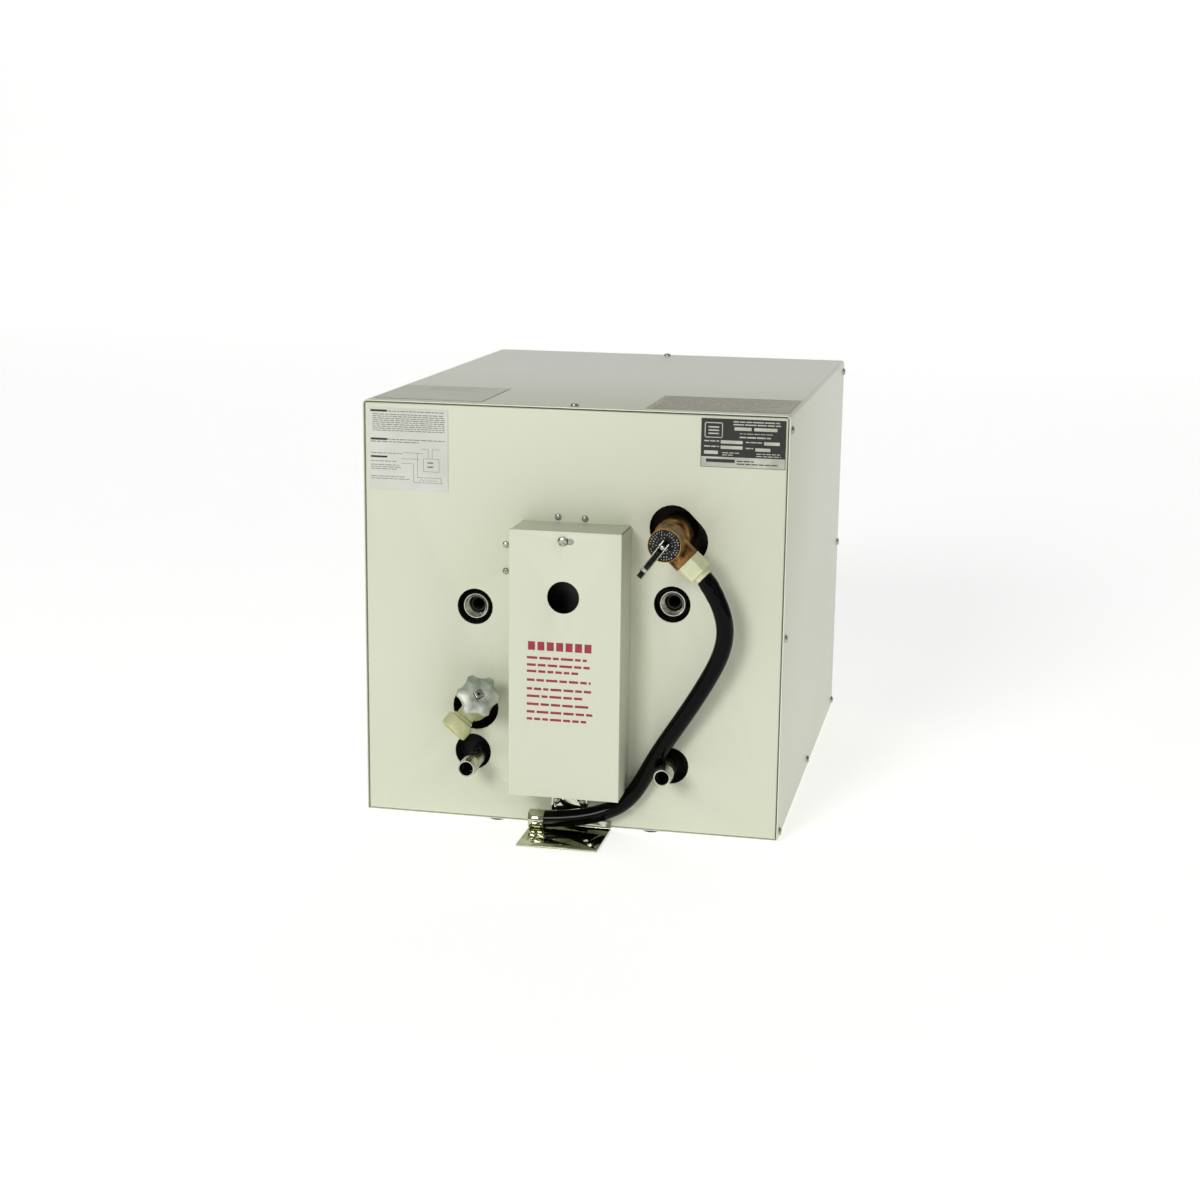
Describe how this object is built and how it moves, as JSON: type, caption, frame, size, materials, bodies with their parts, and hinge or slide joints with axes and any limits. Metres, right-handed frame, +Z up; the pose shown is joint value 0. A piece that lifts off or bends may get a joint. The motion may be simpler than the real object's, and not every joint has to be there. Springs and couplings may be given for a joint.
{
  "type": "tank water heater",
  "caption": "Horizontal electric tank water heater in a cream sheet casing, with front ports, relief and drain valves, a wiring cover and floor brackets.",
  "frame": {"origin": "on the resting surface, below the centre of the casing", "axes": "-Y out of the front with the ports, +X to the right as seen from the front, +Z up"},
  "size_m": [0.413, 0.6504, 0.4147],
  "materials": {
    "cream_enamel": "glossy baked enamel on sheet steel",
    "dark_foam": "dark moulded insulation",
    "label_stock": "printed vinyl label",
    "nameplate_black": "black printed foil plate",
    "tank_steel": "dull welded steel",
    "white_nylon": "moulded nylon",
    "copper": "drawn copper tube",
    "plated_steel": "zinc plated steel",
    "black_rubber": "smooth black rubber",
    "cast_bronze": "cast and turned bronze",
    "black_plastic": "moulded black phenolic",
    "red_plastic": "moulded red plastic",
    "red_wire_sheath": "red wire insulation",
    "white_wire_sheath": "white wire insulation",
    "green_screw": "green earth screw",
    "polished_steel": "mirror polished stainless sheet",
    "grey_casting": "grey die casting",
    "clear_nylon": "translucent natural nylon"
  },
  "bodies": {
    "casing": {"casing_wrap": "cream_enamel", "base_pan": "cream_enamel", "front_panel": "cream_enamel", "rear_panel": "cream_enamel", "insulation_lower": "dark_foam", "insulation_upper": "dark_foam", "data_label": "label_stock", "top_label": "label_stock", "top_notice": "label_stock", "nameplate": "nameplate_black", "tank_barrel": "tank_steel", "tank_front_head": "tank_steel", "tank_rear_head": "tank_steel", "cold_inlet_coupling": "tank_steel", "hot_outlet_coupling": "tank_steel", "relief_socket": "tank_steel", "drain_socket": "tank_steel", "element_socket": "tank_steel", "cold_dip_tube": "white_nylon", "hot_pickup_tube": "white_nylon", "outlet_adapter": "white_nylon", "heat_exchanger_tube": "copper", "temperature_probe": "copper", "exchanger_barb_left": "plated_steel", "exchanger_barb_right": "plated_steel", "thermostat_clip": "plated_steel", "cover_bracket": "plated_steel", "heating_element": "plated_steel", "relief_spring": "plated_steel", "element_gasket": "black_rubber", "discharge_hose": "black_rubber", "foot_front_left": "black_rubber", "foot_front_right": "black_rubber", "foot_rear_left": "black_rubber", "foot_rear_right": "black_rubber", "element_head": "cast_bronze", "relief_body": "cast_bronze", "drain_bonnet": "cast_bronze", "thermostat": "black_plastic", "relief_cap": "black_plastic", "wire_line": "red_wire_sheath", "wire_neutral": "white_wire_sheath", "ground_screw": "green_screw", "front_bracket": "polished_steel", "rear_bracket": "polished_steel", "hose_strap": "polished_steel", "drain_outlet_cup": "clear_nylon", "drain_body": "clear_nylon"},
    "relief_stem_body": {"relief_stem": "cast_bronze"},
    "relief_lever_body": {"relief_lever": "plated_steel", "lever_pin": "cast_bronze"},
    "drain_jumper_body": {"drain_jumper": "cast_bronze", "drain_washer": "black_rubber"},
    "drain_spindle_body": {"drain_stem": "cast_bronze", "drain_knob": "grey_casting"},
    "reset_button_body": {"reset_button": "red_plastic"},
    "temperature_dial_body": {"temperature_dial": "black_plastic"},
    "access_cover_body": {"access_cover": "cream_enamel", "cover_screw": "plated_steel"}
  },
  "joints": [
    {"name": "relief_stem_lift", "type": "slide", "parent": "casing", "child": "relief_stem_body", "axis": [0, -1, 0], "range_m": [0, 0.0034], "deforming": ["relief_spring"]},
    {"name": "relief_lever_turn", "type": "hinge", "parent": "relief_stem_body", "child": "relief_lever_body", "pos_m": [0.10052, -0.3194, 0.2975], "axis": [-0.7997, 0, 0.6004], "range_deg": [0, 80], "stiffness_Nm_per_rad": 0.05, "springref_deg": -17.19},
    {"name": "drain_jumper_lift", "type": "slide", "parent": "casing", "child": "drain_jumper_body", "axis": [0.295, -0.8191, 0.492], "range_m": [0, 0.0052]},
    {"name": "drain_knob_turn", "type": "hinge", "parent": "drain_jumper_body", "child": "drain_spindle_body", "pos_m": [-0.08082, -0.29656, 0.13818], "axis": [0.295, -0.8191, 0.492], "range_deg": [0, 720]},
    {"name": "reset_button_press", "type": "slide", "parent": "casing", "child": "reset_button_body", "axis": [0, 1, 0], "range_m": [0, 0.0015], "stiffness_N_per_m": 300, "springref_m": -0.001},
    {"name": "temperature_dial_turn", "type": "hinge", "parent": "casing", "child": "temperature_dial_body", "pos_m": [0.015, -0.2612, 0.2165], "axis": [0, -1, 0], "range_deg": [-120, 120]},
    {"name": "access_cover_pull", "type": "slide", "parent": "casing", "child": "access_cover_body", "axis": [0, -1, 0], "range_m": [0, 0.07]}
  ],
  "couplings": [
    {"joint": "relief_stem_lift", "follows": "relief_lever_turn", "m_per_rad": 0.0022918},
    {"joint": "drain_jumper_lift", "follows": "drain_knob_turn", "m_per_rad": 0.00039789}
  ]
}
